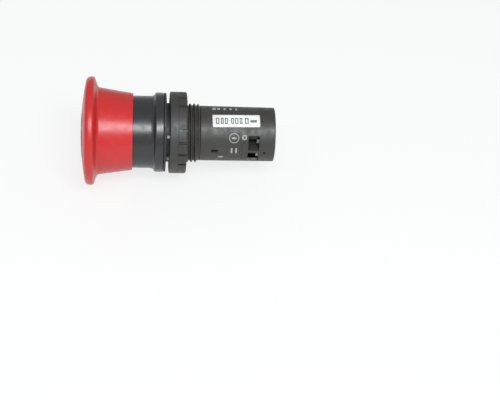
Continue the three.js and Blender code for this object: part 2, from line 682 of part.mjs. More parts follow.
// A thin curved plate on the housing, turned a little on it as it was stuck on by hand.
function ratingLabel() {
  const inner = HOUSING_FRONT_RADIUS + 0.1;
  const halfAngle = LABEL_WIDTH / 2 / inner;
  const section = new THREE.Shape();
  section.absarc(0, 0, inner + LABEL_THICKNESS, -halfAngle, halfAngle, false);
  section.absarc(0, 0, inner, halfAngle, -halfAngle, true);
  const extrusion = { depth: LABEL_LENGTH, bevelEnabled: false, curveSegments: 6 };
  const plate = new THREE.ExtrudeGeometry(section, extrusion);
  plate.rotateX(-Math.PI / 2).translate(0, LABEL_FRONT_Y, 0);
  const middleY = LABEL_FRONT_Y + LABEL_LENGTH / 2;
  plate.translate(0, -middleY, 0).rotateX(radians(LABEL_TILT)).translate(0, middleY, 0);
  return turnedTowardsZ(plate, LABEL_ANGLE);
}

function buildHousing() {
  place('contact_housing', contactHousing(), bodyGrey());
  place('terminal_holder', terminalHolder(), insulator());
  place('return_spring', returnSpring(), springSteel());
  place('rear_cover', rearCover(), bodyGrey());
  place('blank_label', ratingLabel(), finish(0xf4f4f2, 0.6));
  QUADRANTS.forEach((quadrant, i) => {
    inQuadrant(place(`fixed_contact_${i + 1}`, fixedContact(), brass()), quadrant);
    inQuadrant(place(`terminal_clamp_${i + 1}`, terminalClamp(), platedSteel()), quadrant);
    inQuadrant(place(`terminal_screw_${i + 1}`, terminalScrew(), platedSteel()), quadrant);
  });
}

buildOperator();
buildBarrel();
buildNut();
buildPlunger();
buildHousing();

export default assembly;
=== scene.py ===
"""The looks of an emergency stop button, built round its CAD frame.

Metres in Blender. Lengths in this file are millimetres until a mesh is made. The barrel's axis is Y,
the head is at -Y, the contact housing at +Y, and the origin is where the gasket meets the panel.
"""

import json
import math

import bmesh
import bpy
from mathutils import Matrix, Vector


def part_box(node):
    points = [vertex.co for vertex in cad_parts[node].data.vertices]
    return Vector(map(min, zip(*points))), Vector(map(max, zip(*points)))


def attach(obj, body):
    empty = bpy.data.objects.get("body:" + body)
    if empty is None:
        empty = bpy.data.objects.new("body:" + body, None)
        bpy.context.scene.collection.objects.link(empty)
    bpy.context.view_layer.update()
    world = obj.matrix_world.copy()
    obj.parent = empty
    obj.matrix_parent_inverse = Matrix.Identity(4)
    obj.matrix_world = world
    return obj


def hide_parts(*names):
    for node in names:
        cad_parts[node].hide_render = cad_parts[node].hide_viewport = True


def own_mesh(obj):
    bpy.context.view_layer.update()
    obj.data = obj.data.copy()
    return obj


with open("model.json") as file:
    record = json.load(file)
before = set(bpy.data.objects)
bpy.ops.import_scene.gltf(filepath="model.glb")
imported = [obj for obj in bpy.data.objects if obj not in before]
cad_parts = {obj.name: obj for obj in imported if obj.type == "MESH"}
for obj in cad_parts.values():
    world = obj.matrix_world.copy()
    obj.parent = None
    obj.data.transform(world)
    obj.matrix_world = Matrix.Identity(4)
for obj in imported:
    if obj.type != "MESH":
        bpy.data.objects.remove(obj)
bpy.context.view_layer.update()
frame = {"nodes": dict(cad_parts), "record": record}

MM = 0.001
TURN = 2 * math.pi
ROUND = 168  # sides of a large round piece
SMALL = 64  # sides of a small round piece


# ---- Sizes read from the frame -------------------------------------------------------------------


def box_mm(node):
    low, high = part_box(node)
    return low / MM, high / MM


class Span:
    """A node's ends along the axis and its largest reach from it, in millimetres."""

    def __init__(self, node):
        low, high = box_mm(node)
        self.front = low.y
        self.back = high.y
        self.radius = max(high.x, -low.x)
        self.length = high.y - low.y


CAP = Span("mushroom_cap")
COLLAR = Span("bezel_collar")
GASKET = Span("panel_gasket")
BARREL = Span("threaded_barrel")
RING = Span("thrust_ring")
NUT = Span("lock_nut")
COVER = Span("rear_cover")
HOUSING = Span("contact_housing")
HOUSING_FRONT = BARREL.back + 0.3  # behind the barrel's end, past the neck
HOUSING_RADIUS = (10.15, 10.0)  # at the front and at the back
CREST = 10.9  # radius over the thread's crests
ROOT = 10.1
PITCH = 1.5
KEYWAY_HALF = 1.6


# ---- Mesh tools ----------------------------------------------------------------------------------

FILLET_STEPS = 5
SHARP_ANGLE = math.radians(34)


def rounded(corners):
    """A closed outline (radius, y) from corners (radius, y, fillet), each fillet a short arc."""
    points = []
    count = len(corners)
    for i, (r, y, fillet) in enumerate(corners):
        here = Vector((r, y))
        if fillet <= 0:
            points.append(here)
            continue
        before = (Vector(corners[i - 1][:2]) - here).normalized()
        after = (Vector(corners[(i + 1) % count][:2]) - here).normalized()
        half = before.angle(after) / 2
        reach = fillet / math.tan(half)
        middle = here + (before + after).normalized() * (fillet / math.sin(half))
        start = here + before * reach - middle
        turn = start.angle_signed(here + after * reach - middle)
        for k in range(FILLET_STEPS + 1):
            spoke = start.copy()
            spoke.rotate(Matrix.Rotation(-turn * k / FILLET_STEPS, 2))
            points.append(middle + spoke)
    return [(p.x, p.y) for p in points]


def arc(centre, radius, start, end, steps):
    """Points on an arc in the (radius, y) plane, angles in degrees from the radius direction."""
    angles = [math.radians(start + (end - start) * k / steps) for k in range(steps + 1)]
    return [(centre[0] + radius * math.cos(a), centre[1] + radius * math.sin(a)) for a in angles]


def bend(outline, control, end, steps):
    """Adds a quadratic curve to the outline, from its last point."""
    start = outline[-1]
    for k in range(1, steps + 1):
        t = k / steps
        weights = ((1 - t) ** 2, 2 * t * (1 - t), t ** 2)
        points = zip(start, control, end)
        outline.append(tuple(sum(w * value for w, value in zip(weights, values)) for values in points))


def add_object(name, mesh):
    piece = bpy.data.objects.new(name, mesh)
    bpy.context.scene.collection.objects.link(piece)
    return piece


def from_bmesh(name, bm, merge=0.002):
    """Millimetres in, metres out. Closes what the builder left double, and turns the faces outward."""
    bmesh.ops.remove_doubles(bm, verts=bm.verts, dist=merge)
    bmesh.ops.dissolve_degenerate(bm, dist=merge / 2, edges=bm.edges)
    bmesh.ops.recalc_face_normals(bm, faces=bm.faces)
    bmesh.ops.scale(bm, vec=(MM, MM, MM), verts=bm.verts)
    mesh = bpy.data.meshes.new(name)
    bm.to_mesh(mesh)
    bm.free()
    for face in mesh.polygons:
        face.use_smooth = True
    return add_object(name, mesh)


def on_axis(radius, y, angle):
    """A point at that angle from +Z towards +X about the Y axis."""
    return Vector((radius * math.sin(angle), y, radius * math.cos(angle)))


def angle_list(sides):
    return [TURN * k / sides for k in range(sides)]


def revolved(name, outline, sides=ROUND, shape=None, angles=None):
    """Turns an outline about the axis. shape(radius, y, angle) may move each point's radius."""
    angles = angles or angle_list(sides)
    bm = bmesh.new()
    rings = []
    for r, y in outline:
        if r < 1e-6:
            rings.append([bm.verts.new((0, y, 0))] * len(angles))
            continue
        radii = [shape(r, y, a) if shape else r for a in angles]
        rings.append([bm.verts.new(on_axis(radius, y, a)) for radius, a in zip(radii, angles)])
    on_axis_ends = outline[0][0] < 1e-6 and outline[-1][0] < 1e-6
    pairs = list(zip(rings, rings[1:]))
    if not on_axis_ends:
        pairs.append((rings[-1], rings[0]))
    for low, high in pairs:
        for k in range(len(angles)):
            n = (k + 1) % len(angles)
            corners = list(dict.fromkeys((low[k], low[n], high[n], high[k])))
            if len(corners) > 2:
                bm.faces.new(corners)
    return from_bmesh(name, bm)


def stacked(name, outlines):
    """Joins outlines of one point count, each to the next and the last to the first."""
    bm = bmesh.new()
    rings = [[bm.verts.new(p) for p in outline] for outline in outlines]
    for low, high in zip(rings, rings[1:] + rings[:1]):
        for k in range(len(low)):
            n = (k + 1) % len(low)
            bm.faces.new((low[k], low[n], high[n], high[k]))
    return from_bmesh(name, bm)


def bevelled(piece, width, segments=3):
    """Rounds the sharp edges, and evens the shading next to them."""
    bevel = piece.modifiers.new("edges", "BEVEL")
    bevel.width = width * MM
    bevel.segments = segments
    bevel.limit_method = "ANGLE"
    bevel.angle_limit = SHARP_ANGLE
    bevel.harden_normals = True
    return piece


def even_normals(piece):
    normals = piece.modifiers.new("normals", "WEIGHTED_NORMAL")
    normals.keep_sharp = True
    return piece


def with_cuts(piece, cutters):
    """Takes the cutters' shapes out of the piece, and removes the cutters."""
    for cutter in cutters:
        cut = piece.modifiers.new("cut", "BOOLEAN")
        cut.operation = "DIFFERENCE"
        cut.solver = "EXACT"
        cut.object = cutter
    bpy.context.view_layer.update()
    graph = bpy.context.evaluated_depsgraph_get()
    mesh = bpy.data.meshes.new_from_object(piece.evaluated_get(graph))
    piece.modifiers.clear()
    piece.data = mesh
    for cutter in cutters:
        bpy.data.objects.remove(cutter)
    return piece


def round_box(name, low, high, width):
    """A box with rounded edges."""
    bm = bmesh.new()
    bmesh.ops.create_cube(bm, size=1)
    size = Vector(high) - Vector(low)
    middle = (Vector(high) + Vector(low)) / 2
    bmesh.ops.scale(bm, vec=size, verts=bm.verts)
    bmesh.ops.translate(bm, vec=middle, verts=bm.verts)
    return bevelled(from_bmesh(name, bm), width)


# ---- Materials -----------------------------------------------------------------------------------


class Nodes:
    """A material's node tree, with one Principled shader."""

    def __init__(self, name):
        self.material = bpy.data.materials.new(name)
        self.material.use_nodes = True
        self.tree = self.material.node_tree
        self.shader = self.tree.nodes["Principled BSDF"]
        self.place = self.add("ShaderNodeTexCoord").outputs["Object"]

    def add(self, kind, **settings):
        node = self.tree.nodes.new(kind)
        for key, value in settings.items():
            setattr(node, key, value)
        return node

    def link(self, output, target):
        self.tree.links.new(output, target)

    def set(self, **values):
        for key, value in values.items():
            self.shader.inputs[key.replace("_", " ")].default_value = value

    def noise(self, scale, detail, stretch=None):
        texture = self.add("ShaderNodeTexNoise")
        texture.inputs["Scale"].default_value = scale
        texture.inputs["Detail"].default_value = detail
        source = self.place
        if stretch:
            mapping = self.add("ShaderNodeMapping")
            mapping.inputs["Scale"].default_value = stretch
            self.link(source, mapping.inputs["Vector"])
            source = mapping.outputs["Vector"]
        self.link(source, texture.inputs["Vector"])
        return texture.outputs["Fac"]

    def ramp(self, factor, low, high):
        node = self.add("ShaderNodeMapRange")
        node.inputs["From Min"].default_value = 0.3
        node.inputs["From Max"].default_value = 0.7
        node.inputs["To Min"].default_value = low
        node.inputs["To Max"].default_value = high
        self.link(factor, node.inputs["Value"])
        return node.outputs["Result"]

    def mottle(self, colour, spread, scale, detail, positions):
        """Lets the base colour vary a little, from a darker to a lighter shade."""
        node = self.add("ShaderNodeValToRGB")
        elements = node.color_ramp.elements
        elements.new(0.5)
        for element, position, share in zip(elements, positions, (1 - spread, 1, 1 + spread)):
            element.position = position
            element.color = (*(min(1, c * share) for c in colour), 1)
        self.link(self.noise(scale, detail), node.inputs["Fac"])
        self.link(node.outputs["Color"], self.shader.inputs["Base Color"])

    def bump(self, height, strength, distance, before=None):
        node = self.add("ShaderNodeBump")
        node.inputs["Strength"].default_value = strength
        node.inputs["Distance"].default_value = distance * MM
        self.link(height, node.inputs["Height"])
        if before:
            self.link(before, node.inputs["Normal"])
        return node.outputs["Normal"]


def moulded_plastic(
    name, colour, roughness, spread=0.06, grain=0.25, grain_scale=5000, ripple=0.3, ior=1.5
):
    """Injection-moulded plastic: a fine grain, a slow ripple, a little variation of gloss and of colour."""
    m = Nodes(name)
    m.mottle(colour, spread, 140, 4, (0.3, 0.5, 0.72))
    m.link(m.ramp(m.noise(420, 5), roughness * 0.82, roughness * 1.25), m.shader.inputs["Roughness"])
    fine = m.bump(m.noise(grain_scale, 2), grain, 0.01)
    m.link(m.bump(m.noise(260, 2), ripple, 0.015, before=fine), m.shader.inputs["Normal"])
    m.set(IOR=ior)
    return m.material


def metal(name, colour, roughness, streak=(1, 1, 1)):
    """Metal with a faint brushing along its streak."""
    m = Nodes(name)
    m.mottle(colour, 0.12, 300, 5, (0.3, 0.5, 0.75))
    m.link(m.ramp(m.noise(900, 4, streak), roughness * 0.7, roughness * 1.4), m.shader.inputs["Roughness"])
    m.link(m.bump(m.noise(2600, 3, streak), 0.25, 0.008), m.shader.inputs["Normal"])
    m.set(Metallic=1)
    return m.material


def film(name, colour):
    """White label film: almost flat, with a faint fibre and slightly yellowed patches."""
    m = Nodes(name)
    m.mottle(colour, 0.03, 500, 4, (0.3, 0.5, 0.7))
    m.link(m.bump(m.noise(3500, 3), 0.15, 0.006), m.shader.inputs["Normal"])
    m.set(Roughness=0.45)
    return m.material


MATERIALS = {
    "red_plastic": moulded_plastic("red_moulding", (0.465, 0.0165, 0.017), 0.33, spread=0.05, grain=0.08),
    "collar_plastic": moulded_plastic(
        "collar_moulding", (0.018, 0.0195, 0.021), 0.30, grain=0.08, ripple=0.12, ior=1.53
    ),
    "housing_plastic": moulded_plastic(
        "housing_moulding", (0.028, 0.0255, 0.023), 0.5, grain=0.4, ior=1.56
    ),
    "nut_plastic": moulded_plastic("nut_moulding", (0.027, 0.0255, 0.0235), 0.5, grain=0.4, ior=1.55),
    "rubber": moulded_plastic("black_rubber", (0.018, 0.018, 0.019), 0.55, grain=0.3, grain_scale=3000),
    "acetal": moulded_plastic("white_acetal", (0.72, 0.70, 0.64), 0.42),
    "insulator": moulded_plastic("grey_thermoset", (0.030, 0.028, 0.026), 0.5, grain=0.5),
    "spring_steel": metal("spring_steel", (0.56, 0.57, 0.58), 0.26, streak=(1, 6, 1)),
    "plated_steel": metal("zinc_plate", (0.34, 0.33, 0.31), 0.42),
    "black_steel": metal("blackened_steel", (0.10, 0.095, 0.09), 0.5),
    "dull_steel": metal("dull_steel", (0.36, 0.36, 0.35), 0.6),
    "brass": metal("rolled_brass", (0.62, 0.43, 0.17), 0.3, streak=(1, 0.15, 1)),
    "washer_steel": metal("washer_steel", (0.36, 0.36, 0.35), 0.42),
    "label": film("label_film", (0.86, 0.86, 0.84)),
    "white_ink": film("white_ink", (0.34, 0.34, 0.33)),
    "grey_ink": film("grey_ink", (0.16, 0.16, 0.16)),
}
SLOTS = {s["node"]: s["material_slot"] for s in frame["record"]["subparts"]}
BODY_OF = {n: body for body, nodes in frame["record"]["behaviour"]["bodies"].items() for n in nodes}


def dress(piece, slot, finish):
    """Gives a piece its material slot, and the slot's own material where no finish is named."""
    piece.data.materials.clear()
    piece.data.materials.append(MATERIALS[finish or slot])
    return piece


def stand_for(piece, node, finish=None):
    """The piece takes the CAD node's place, its body and its material slot."""
    dress(piece, SLOTS[node], finish)
    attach(piece, BODY_OF[node])
    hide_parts(node)
    return piece


def add_to(piece, node, finish=None):
    """The piece is a detail on a CAD node: same body and slot."""
    dress(piece, SLOTS[node], finish)
    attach(piece, BODY_OF[node])
    return piece


# ---- The camera and the set ----------------------------------------------------------------------

VIEW_ANGLE = 40.5  # of the camera about the axis, in degrees from +X towards +Z
VIEW_DISTANCE = 490
FOCAL_LENGTH = 94.7
DAYLIGHT = (0.92, 0.985, 1.0)


def make_camera():
    """Looks at the button from its side. The button lies left of and above the picture's middle."""
    camera = add_object("camera", bpy.data.cameras.new("camera"))
    camera.data.lens = FOCAL_LENGTH
    camera.data.sensor_width = 36
    angle = math.radians(VIEW_ANGLE)
    right = Vector((0, 1, 0))
    up = Vector((-math.sin(angle), 0, math.cos(angle)))
    back = right.cross(up)
    facing = Matrix((right, up, back)).transposed().to_4x4()
    aim = (
        Matrix.Rotation(math.radians(-5.15), 4, "Y")
        @ Matrix.Rotation(math.radians(-2.87), 4, "X")
        @ Matrix.Rotation(math.radians(1.2), 4, "Z")
    )
    where = Vector((0, CAP.back, 0)) + back * VIEW_DISTANCE
    camera.matrix_world = Matrix.Translation(where * MM) @ facing @ aim
    camera.data.clip_start = 0.01
    bpy.context.scene.camera = camera


def make_light(name, angle, distance, width, length, strength, y):
    """A soft panel that faces the button from an angle about its axis. Its strength is its brightness."""
    data = bpy.data.lights.new(name, "AREA")
    data.shape = "RECTANGLE"
    data.size = length * MM
    data.size_y = width * MM
    data.energy = strength * math.pi * length * width * MM ** 2
    data.color = DAYLIGHT
    lamp = add_object(name, data)
    turn = math.radians(angle)
    back = Vector((math.cos(turn), 0, math.sin(turn)))
    right = Vector((0, 1, 0))
    facing = Matrix((right, back.cross(right), back)).transposed().to_4x4()
    lamp.matrix_world = Matrix.Translation((back * distance + Vector((0, y, 0))) * MM) @ facing


def make_set():
    floor_mesh = bpy.data.meshes.new("floor")
    reach = 4000 * MM
    level = -CAP.radius * MM
    floor_mesh.from_pydata(
        [(-reach, -reach, level), (reach, -reach, level), (reach, reach, level), (-reach, reach, level)],
        [], [(0, 1, 2, 3)],
    )
    floor = add_object("floor", floor_mesh)
    paint = Nodes("white_table")
    paint.link(paint.ramp(paint.noise(60, 3), 0.55, 0.65), paint.shader.inputs["Roughness"])
    paint.set(Base_Color=(0.16, 0.16, 0.16, 1), Emission_Color=(1, 1, 1, 1), Emission_Strength=0.76)
    floor_mesh.materials.append(paint.material)
    world = bpy.data.worlds.new("studio")
    world.use_nodes = True
    background = world.node_tree.nodes["Background"]
    background.inputs["Color"].default_value = (1, 1, 1, 1)
    background.inputs["Strength"].default_value = 0.46
    bpy.context.scene.world = world
    make_light("key_panel", VIEW_ANGLE + 12, 620, 200, 360, 17.0, y=75)
    make_light("side_panel", VIEW_ANGLE + 12, 620, 110, 120, 15.5, y=-330)
    bpy.context.scene.view_settings.view_transform = "Standard"


# ---- The mushroom head ---------------------------------------------------------------------------

CAP_RIM_FRONT = CAP.front + 1.7
CAP_RIM_BACK = CAP.front + 5.1
CAP_SKIRT_TOP = CAP.front + 6.8
CAP_SKIRT_RADII = (16.0, 14.2)  # at its top and at its end
CAP_DOME_EDGE = CAP.radius - 1.9
COLLAR_BODY = 13.35  # the collar's radius in front of its flare


def dome_radius():
    sagitta = CAP_RIM_FRONT - CAP.front
    return (CAP_DOME_EDGE ** 2 + sagitta ** 2) / (2 * sagitta)


def cap_outline():
    radius = CAP.radius
    sphere = dome_radius()
    half_angle = math.degrees(math.asin(CAP_DOME_EDGE / sphere))
    skirt_top, skirt_end = CAP_SKIRT_RADII
    bore = COLLAR_BODY + 0.3
    ceiling = CAP.front + 3.5
    boss, boss_end, socket = 7.0, CAP.front + 9.7, 4.0
    dome = arc((0, CAP.front + sphere), sphere, -90, -90 + half_angle, 40)
    dome[0] = (0, CAP.front)
    outline = list(dome)
    bend(outline, (radius - 0.3, CAP_RIM_FRONT + 0.15), (radius, CAP_RIM_FRONT + 1.7), 12)
    outline.append((radius, CAP_RIM_BACK - 1.0))
    bend(outline, (radius, CAP_RIM_BACK - 0.15), (radius - 0.8, CAP_RIM_BACK), 8)
    outline.append((skirt_top + 1.1, CAP_RIM_BACK + 0.75))
    bend(outline, (skirt_top + 0.1, CAP_RIM_BACK + 1.0), (skirt_top, CAP_SKIRT_TOP + 0.3), 8)
    lip = 0.16
    outline.append((skirt_end + 0.02, CAP.back - lip))
    bend(outline, (skirt_end, CAP.back), (skirt_end - lip, CAP.back), 4)
    outline.append((bore + lip, CAP.back))
    bend(outline, (bore, CAP.back), (bore, CAP.back - lip), 4)
    outline.append((bore, ceiling + 2.4))
    bend(outline, (bore, ceiling), (bore - 2.2, ceiling), 8)
    outline += [(boss + 0.4, ceiling)]
    bend(outline, (boss, ceiling), (boss, ceiling + 0.4), 4)
    outline += [(boss, boss_end), (socket, boss_end), (socket, ceiling + 0.8), (0, ceiling + 0.8)]
    return outline


def dome_point(r, angle, lift):
    """A point on the dome at radius r, raised towards the operator."""
    sphere = dome_radius()
    return on_axis(r, CAP.front + sphere - math.sqrt(sphere ** 2 - r ** 2) - lift, angle)


ARROW_STEPS = 22


def arrow_outline(inner, outer, tail, neck, tip):
    """A curved arrow's outline (radius, angle), clockwise as the operator sees it."""
    middle = (inner + outer) / 2
    head = (outer - inner) * 1.05
    sweep = [(neck - tail) * k / ARROW_STEPS for k in range(ARROW_STEPS + 1)]
    points = [(outer, tail + turn) for turn in sweep]
    points += [(middle + head, neck), (middle, tip), (middle - head, neck)]
    points += [(inner, neck - turn) for turn in sweep]
    return points


def arrow_cutter():
    """Two arrows that show which way to turn the head, as a solid that reaches into the dome."""
    bm = bmesh.new()
    sink, lift = 0.28, 0.5
    for start in (20, 200):
        outline = arrow_outline(10.2, 12.9, *(math.radians(start + a) for a in (0, 92, 118)))
        top = [bm.verts.new(dome_point(r, a, lift)) for r, a in outline]
        foot = [bm.verts.new(dome_point(r, a, -sink)) for r, a in outline]
        for loop in (top, foot):
            last = len(loop) - 1
            for k in range(ARROW_STEPS):
                bm.faces.new((loop[k], loop[k + 1], loop[last - k - 1], loop[last - k]))
            bm.faces.new(loop[ARROW_STEPS:ARROW_STEPS + 5])
        for k in range(len(outline)):
            n = (k + 1) % len(outline)
            bm.faces.new((top[k], top[n], foot[n], foot[k]))
    return from_bmesh("arrow_cutter", bm)


def build_head():
    cap = with_cuts(revolved("cap", cap_outline(), 200), [arrow_cutter()])
    cap.data.set_sharp_from_angle(angle=math.radians(40))
    stand_for(even_normals(cap), "mushroom_cap")


# ---- Collar, gasket and barrel -------------------------------------------------------------------

SEAM = 0.15  # how far a piece reaches into the CAD's 0.3 mm gap, where the real pieces touch


def collar_outline():
    bore = CREST + 0.3
    body = COLLAR_BODY
    flange_front = COLLAR.back - 2.45
    flare = COLLAR.back - 4.65
    back = COLLAR.back + SEAM
    outline = [(bore, COLLAR.front), (body - 0.5, COLLAR.front)]
    bend(outline, (body, COLLAR.front), (body, COLLAR.front + 0.5), 6)
    outline.append((body, flare))
    flare_end = (COLLAR.radius - 0.45, flange_front - 0.55)
    bend(outline, (body + 0.02, flange_front - 0.9), flare_end, 12)
    edge = COLLAR.radius
    bend(outline, (edge, flange_front - 0.4), (edge, flange_front + 0.1), 6)
    outline.append((edge, back - 0.2))
    bend(outline, (edge, back), (edge - 0.2, back), 4)
    outline.append((bore, back))
    return outline


def gasket_outline():
    inner = 11.2
    return rounded([
        (inner, GASKET.front, 0.1),
        (GASKET.radius, GASKET.front, 0.2),
        (GASKET.radius, GASKET.back, 0.2),
        (inner, GASKET.back, 0.1),
    ])


PILOT_BACK = 1.2
THREAD_START = PILOT_BACK + 0.9
THREAD_END = BARREL.back - 0.6
STEPS_PER_PITCH = 14


def thread_height(y, angle):
    """From 0 at the root to 1 at the crest of a right-handed thread, faded out at its two ends."""
    phase = (y / PITCH - angle / TURN) % 1
    away = abs(phase - round(phase)) * 2  # 0 on the crest's line, 1 midway
    flank = min(1, max(0, (0.92 - away) / 0.78))
    rounded_off = flank * flank * (3 - 2 * flank) * 0.35 + flank * 0.65
    fade = min(1, max(0, (y - THREAD_START + 0.8) / 0.6), max(0, (THREAD_END + 0.8 - y) / 0.6))
    return rounded_off * fade


def barrel_outline():
    head = COLLAR_BODY - 0.45
    head_back = COLLAR.front - 0.3
    bore = 7.8
    outline = [(bore, BARREL.front)]
    outline += [(head - 0.2, BARREL.front), (head, BARREL.front + 0.2), (head, head_back)]
    outline.append((CREST, head_back))
    start = PILOT_BACK + 0.7
    length = BARREL.back - 0.2 - start
    outline += [(CREST, -0.01), (CREST, 0.01), (CREST, PILOT_BACK)]
    steps = int(length / PITCH * STEPS_PER_PITCH)
    outline += [(ROOT, start + length * k / steps) for k in range(steps + 1)]
    outline += [(ROOT, BARREL.back + SEAM), (ROOT - 0.2, BARREL.back + 0.25), (bore, BARREL.back + 0.25)]
    return outline


def barrel_shape(r, y, angle):
    threaded = abs(r - ROOT) < 1e-6
    radius = r + (CREST - ROOT) * thread_height(y, angle) if threaded else r
    from_bottom = abs(angle - math.pi)
    in_keyway = from_bottom < math.asin(KEYWAY_HALF / ROOT) and y > 0 and r >= ROOT - 0.2
    return min(radius, 9.7 / math.cos(from_bottom)) if in_keyway else radius


def barrel_angles():
    """Even steps round the barrel, with two close ones at each wall of the keyway."""
    wall = math.asin(KEYWAY_HALF / ROOT)
    edges = [math.pi + side * (wall + nudge) for side in (-1, 1) for nudge in (-0.002, 0.002)]
    clear = [a for a in angle_list(ROUND) if all(abs(a - e) > 0.012 for e in edges)]
    return sorted(clear + edges)


def build_barrel():
    stand_for(even_normals(revolved("collar", collar_outline(), 192)), "bezel_collar")
    stand_for(even_normals(revolved("gasket", gasket_outline())), "panel_gasket")
    barrel = revolved("barrel", barrel_outline(), shape=barrel_shape, angles=barrel_angles())
    stand_for(barrel, "threaded_barrel")


# ---- Thrust ring, grip washer and lock nut -------------------------------------------------------

NOTCH_DEPTH = 0.8
NOTCH_HALF = 0.5
NOTCH_PITCH = 18
NOTCHES_IN_GROUP = 4
NUT_GROUPS = 4
FIRST_NOTCH = -10.6  # degrees from +X towards +Z


def ring_outline():
    washer_back = RING.front + 0.8
    return rounded([
        (11.15, washer_back, 0.08),
        (13.1, washer_back, 0.05),
        (13.1, RING.front, 0.15),
        (RING.radius, RING.front, 0.45),
        (RING.radius, RING.back + SEAM, 0.06),
        (11.15, RING.back + SEAM, 0.06),
    ])


def notch_middles():
    """Angles, from +Z towards +X, of the nut's notches: a wide land follows each group."""
    firsts = [FIRST_NOTCH + group * 360 / NUT_GROUPS for group in range(NUT_GROUPS)]
    from_x = [first + k * NOTCH_PITCH for first in firsts for k in range(NOTCHES_IN_GROUP)]
    return sorted(math.radians(90 - a) % TURN for a in from_x)


def build_nut_mesh():
    """Layers of one outline: round in front, notched behind, with a chamfer and the threaded bore."""
    middles = notch_middles()
    half = NOTCH_HALF / NUT.radius
    stations = []  # (angle, is it in a notch)
    for i, middle in enumerate(middles):
        following = middles[(i + 1) % len(middles)] + (TURN if i == len(middles) - 1 else 0)
        land_start, land_end = middle + half, following - half
        steps = max(2, round((land_end - land_start) / math.radians(2.6)))
        stations += [(middle + half * s, True) for s in (-1, -0.33, 0.33, 1)]
        stations += [(land_start + (land_end - land_start) * k / steps, False) for k in range(steps + 1)]
    floor = NUT.radius - NOTCH_DEPTH
    notch_front = NUT.front + 0.02
    chamfer = 0.4
    bore = CREST + 0.05

    def layer(land, notch, y):
        return [on_axis(notch if cut else land, y, angle) for angle, cut in stations]

    def plain(radius, y):
        return layer(radius, radius, y)

    front = NUT.front - SEAM + 0.02
    layers = [
        plain(bore, front),
        plain(NUT.radius - 0.06, front),
        plain(NUT.radius, front + 0.06),
        plain(NUT.radius, notch_front),
        layer(NUT.radius, floor, notch_front),
        layer(NUT.radius, floor, NUT.back - chamfer),
        layer(NUT.radius - chamfer, floor, NUT.back),
        plain(bore + 0.7, NUT.back),
        plain(bore, NUT.back - 0.6),
    ]
    return bevelled(stacked("nut", layers), 0.14, 3)


def build_nut():
    stand_for(even_normals(revolved("nut_ring", ring_outline())), "thrust_ring")
    stand_for(build_nut_mesh(), "lock_nut")
    bevelled(frame["nodes"]["grip_washer"], 0.06)


# ---- The contact housing -------------------------------------------------------------------------

NECK_RADIUS = 7.5
HOUSING_WALL_BORE = 9.0
COVER_SEAT = 9.3
ENTRY_Y = (30.1, 34.2)
ENTRY_Z = (0.55, 5.9)
RIB_Y = (27.9, 29.3)
RIB_Z = (-3.6, 3.6)
RIB_HEIGHT = 0.26
WINDOW_Y = (16.5, 19.0)
WINDOW_HALF = 0.7
PIN_HOLE = {"y": 36.2, "radius": 0.5, "angle": -3.3}


def housing_radius(y):
    share = (y - HOUSING_FRONT) / (HOUSING.back - HOUSING_FRONT)
    front, back = HOUSING_RADIUS
    return front + (back - front) * share


def angle_of(z):
    """Degrees from +X towards +Z of a point on the housing at that height."""
    return math.degrees(math.asin(z / HOUSING_RADIUS[1]))


def housing_patches():
    """The housing's openings and ribs, as (level, degrees from, degrees to, y from, y to)."""
    window = math.degrees(WINDOW_HALF / HOUSING_RADIUS[0])
    patches = []
    for side in (0, 180):
        for low, high in ((ENTRY_Z[0], ENTRY_Z[1]), (-ENTRY_Z[1], -ENTRY_Z[0])):
            patches.append(("open", side + angle_of(low), side + angle_of(high), *ENTRY_Y))
        patches.append(("rib", side + angle_of(RIB_Z[0]), side + angle_of(RIB_Z[1]), *RIB_Y))
        patches.append(("open", side - window, side + window, *WINDOW_Y))
    return patches


def lines_between(start, end, step, wanted):
    """Even lines from start to end, with the wanted ones in place of those that come too near them."""
    count = round((end - start) / step)
    even = [start + (end - start) * k / count for k in range(count + 1)]
    kept = [v for v in even if all(abs(v - w) > step * 0.55 for w in wanted)]
    return sorted(set(kept + list(wanted)))


